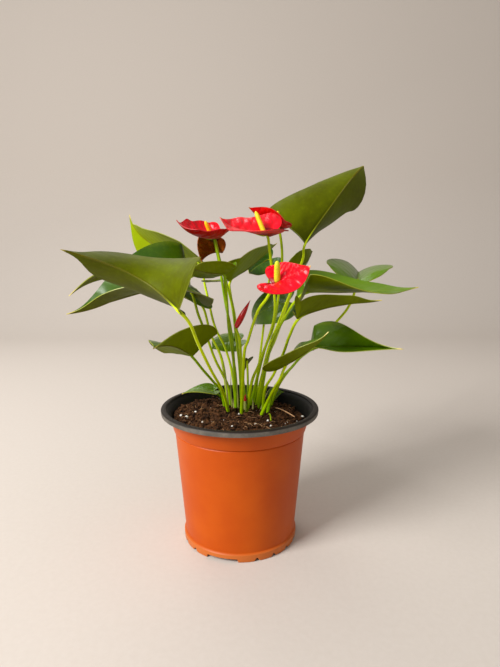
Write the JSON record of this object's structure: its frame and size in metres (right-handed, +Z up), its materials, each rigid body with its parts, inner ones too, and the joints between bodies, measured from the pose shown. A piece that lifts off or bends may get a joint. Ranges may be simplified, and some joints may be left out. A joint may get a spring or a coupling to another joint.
{
  "type": "potted flamingo flower",
  "caption": "Flamingo flower with glossy heart-shaped leaves and red spathes, growing from a mound of potting soil in a plain flared nursery pot.",
  "frame": {"origin": "middle of the pot's foot, on the surface that it stands on, which is also the bottom middle of the whole plant's box", "axes": "+Z up, -Y towards the side that the picture shows, +X to the right as seen from there"},
  "size_m": [0.2535, 0.2145, 0.2984],
  "materials": {
    "pot_plastic": "satin",
    "soil": "matte",
    "leaf_green": "gloss",
    "stem_green": "satin",
    "spathe_red": "gloss",
    "spathe_faded": "matte",
    "spadix_yellow": "matte",
    "spadix_faded": "matte"
  },
  "bodies": {
    "root": {"pot": "pot_plastic", "soil": "soil", "bud_spathe": "spathe_red", "bud_stalk": "stem_green", "flower_back_spadix": "spadix_yellow", "flower_back_spathe": "spathe_red", "flower_back_stalk": "stem_green", "flower_centre_spadix": "spadix_yellow", "flower_centre_spathe": "spathe_red", "flower_centre_stalk": "stem_green", "flower_faded_spadix": "spadix_faded", "flower_faded_spathe": "spathe_faded", "flower_faded_stalk": "stem_green", "flower_front_spadix": "spadix_yellow", "flower_front_spathe": "spathe_red", "flower_front_stalk": "stem_green", "flower_left_spadix": "spadix_yellow", "flower_left_spathe": "spathe_red", "flower_left_stalk": "stem_green", "leaf_back_left_blade": "leaf_green", "leaf_back_left_petiole": "stem_green", "leaf_back_low_blade": "leaf_green", "leaf_back_low_petiole": "stem_green", "leaf_back_right_blade": "leaf_green", "leaf_back_right_petiole": "stem_green", "leaf_back_small_blade": "leaf_green", "leaf_back_small_petiole": "stem_green", "leaf_behind_centre_blade": "leaf_green", "leaf_behind_centre_petiole": "stem_green", "leaf_behind_flower_blade": "leaf_green", "leaf_behind_flower_petiole": "stem_green", "leaf_centre_back_blade": "leaf_green", "leaf_centre_back_petiole": "stem_green", "leaf_centre_left_blade": "leaf_green", "leaf_centre_left_petiole": "stem_green", "leaf_centre_right_blade": "leaf_green", "leaf_centre_right_petiole": "stem_green", "leaf_front_left_blade": "leaf_green", "leaf_front_left_petiole": "stem_green", "leaf_left_on_rim_blade": "leaf_green", "leaf_left_on_rim_petiole": "stem_green", "leaf_left_small_blade": "leaf_green", "leaf_left_small_petiole": "stem_green", "leaf_outer_left_blade": "leaf_green", "leaf_outer_left_petiole": "stem_green", "leaf_right_lower_blade": "leaf_green", "leaf_right_lower_petiole": "stem_green", "leaf_right_middle_blade": "leaf_green", "leaf_right_middle_petiole": "stem_green", "leaf_right_on_soil_blade": "leaf_green", "leaf_right_on_soil_petiole": "stem_green", "leaf_right_small_blade": "leaf_green", "leaf_right_small_petiole": "stem_green", "leaf_right_upper_blade": "leaf_green", "leaf_right_upper_petiole": "stem_green", "leaf_top_right_blade": "leaf_green", "leaf_top_right_petiole": "stem_green", "leaf_upper_left_blade": "leaf_green", "leaf_upper_left_petiole": "stem_green"}
  },
  "joints": []
}
